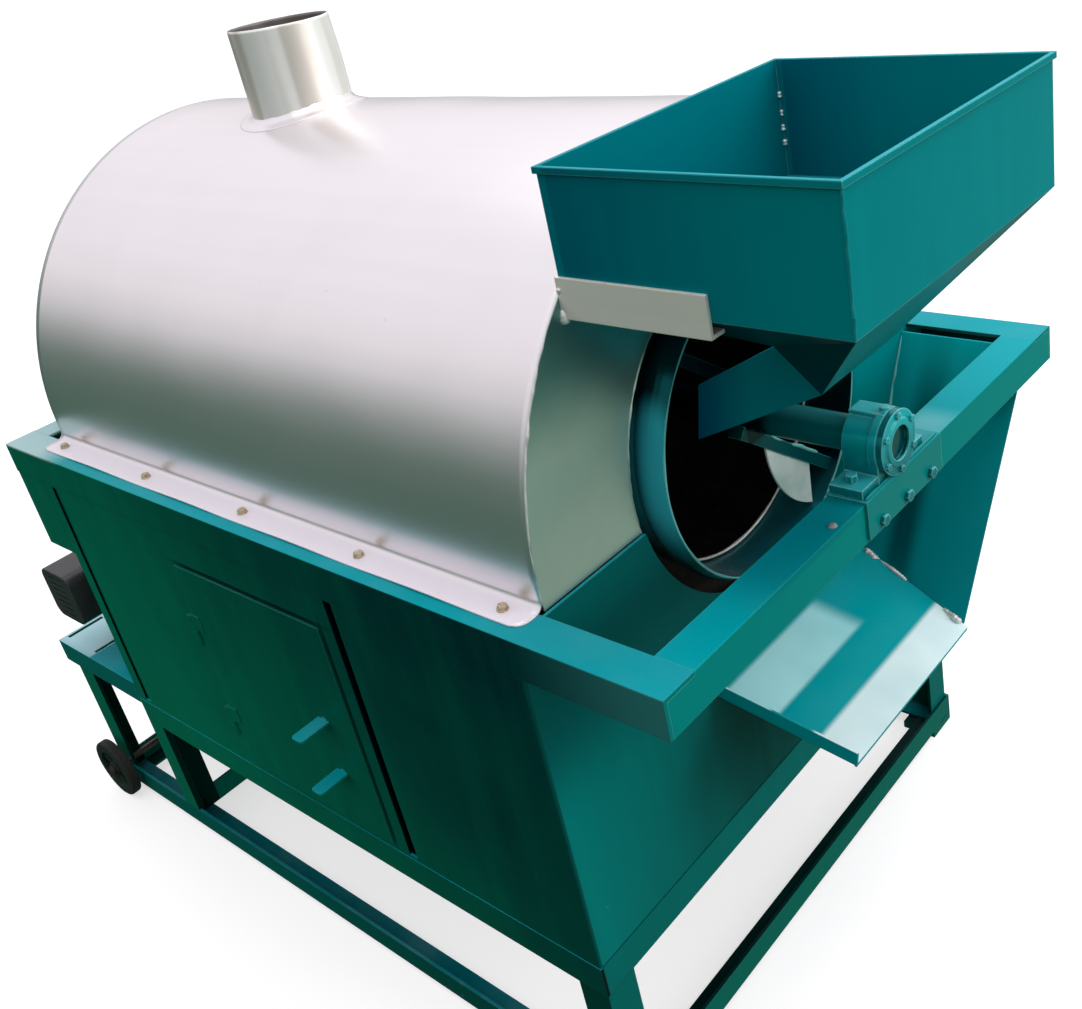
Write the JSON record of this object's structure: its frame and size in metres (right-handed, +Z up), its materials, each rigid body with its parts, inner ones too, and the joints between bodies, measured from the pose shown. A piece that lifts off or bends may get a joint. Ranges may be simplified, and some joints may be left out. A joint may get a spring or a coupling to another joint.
{
  "type": "nut roasting machine",
  "caption": "Drum nut roaster on a wheeled angle-iron stand: turning drum under a round hood, feed hopper, fire box with a hinged door, discharge chute and chain drive.",
  "frame": {"origin": "on the floor, under the middle of the overall length and width", "axes": "+X along the drum axis towards the hopper and discharge chute, +Z up, fire door on -Y"},
  "size_m": [1.704, 0.986, 1.35],
  "materials": {
    "teal_enamel": "gloss teal-green enamel",
    "hood_silver": "satin silver sheet",
    "bolt_brass": "rusty passivated bolts",
    "fire_black": "heat-blackened steel",
    "bright_steel": "machined steel",
    "bush_bronze": "turned bronze",
    "grate_iron": "rough iron",
    "motor_grey": "dark machine paint",
    "wheel_iron": "dark painted casting",
    "tyre_rubber": "worn rubber"
  },
  "bodies": {
    "root": {"bearing_bolts": "teal_enamel", "bearing_bracket": "teal_enamel", "body_floor": "fire_black", "bottom_end_rails": "teal_enamel", "bottom_side_rails": "teal_enamel", "chimney": "hood_silver", "chimney_collar": "hood_silver", "chute_cheek": "teal_enamel", "chute_tray": "teal_enamel", "cross_sills": "teal_enamel", "drive_chain": "bright_steel", "far_panel": "teal_enamel", "feed_spout": "teal_enamel", "fire_grate": "grate_iron", "foot_pads": "teal_enamel", "front_bearing_cover": "teal_enamel", "front_bearing_housing": "teal_enamel", "front_bush": "bush_bronze", "front_legs": "teal_enamel", "front_panel": "teal_enamel", "gearbox": "motor_grey", "hinge_pintles": "teal_enamel", "hood_bolts": "bolt_brass", "hood_front_plate": "hood_silver", "hood_rear_plate": "hood_silver", "hood_shell": "hood_silver", "hopper_brackets": "hood_silver", "hopper_funnel": "teal_enamel", "hopper_walls": "teal_enamel", "motor_body": "motor_grey", "motor_cowl": "motor_grey", "motor_platform": "teal_enamel", "near_panel": "teal_enamel", "platform_legs": "teal_enamel", "rear_bearing_housing": "teal_enamel", "rear_guard": "teal_enamel", "rear_legs": "teal_enamel", "rear_panel": "teal_enamel", "rim_ends": "teal_enamel", "rim_sides": "teal_enamel", "side_sills": "teal_enamel", "wheel_axle": "bright_steel"},
    "drum": {"discharge_scoop": "bright_steel", "drum_flights": "fire_black", "drum_front_plate": "fire_black", "drum_mouth": "teal_enamel", "drum_rear_plate": "fire_black", "drum_shaft": "bright_steel", "drum_shell": "fire_black", "drum_sprocket": "bright_steel"},
    "drive": {"drive_sprocket": "bright_steel"},
    "door": {"fire_door": "teal_enamel", "door_hinge_barrels": "teal_enamel"},
    "latch_upper": {"latch_upper": "teal_enamel"},
    "latch_lower": {"latch_lower": "teal_enamel"},
    "near_wheel": {"near_wheel_hub": "wheel_iron", "near_wheel_tyre": "tyre_rubber"},
    "far_wheel": {"far_wheel_hub": "wheel_iron", "far_wheel_tyre": "tyre_rubber"}
  },
  "joints": [
    {"name": "drum_spin", "type": "hinge", "parent": "root", "child": "drum", "pos_m": [0, 0, 0.84], "axis": [1, 0, 0], "continuous": true},
    {"name": "drive_spin", "type": "hinge", "parent": "root", "child": "drive", "pos_m": [-0.592, -0.15, 0.468], "axis": [1, 0, 0], "continuous": true},
    {"name": "door_swing", "type": "hinge", "parent": "root", "child": "door", "pos_m": [-0.2185, -0.454, 0.4845], "axis": [0, 0, -1], "range_deg": [0, 110]},
    {"name": "latch_upper_turn", "type": "hinge", "parent": "door", "child": "latch_upper", "pos_m": [0.066, -0.45, 0.512], "axis": [0, -1, 0], "range_deg": [0, 90]},
    {"name": "latch_lower_turn", "type": "hinge", "parent": "door", "child": "latch_lower", "pos_m": [0.066, -0.45, 0.419], "axis": [0, -1, 0], "range_deg": [0, 90]},
    {"name": "near_wheel_spin", "type": "hinge", "parent": "root", "child": "near_wheel", "pos_m": [-0.786, -0.47, 0.0605], "axis": [0, 1, 0], "continuous": true},
    {"name": "far_wheel_spin", "type": "hinge", "parent": "root", "child": "far_wheel", "pos_m": [-0.786, 0.47, 0.0605], "axis": [0, 1, 0], "continuous": true}
  ],
  "couplings": [
    {"joint": "drive_spin", "follows": "drum_spin", "ratio": 2.5333}
  ]
}
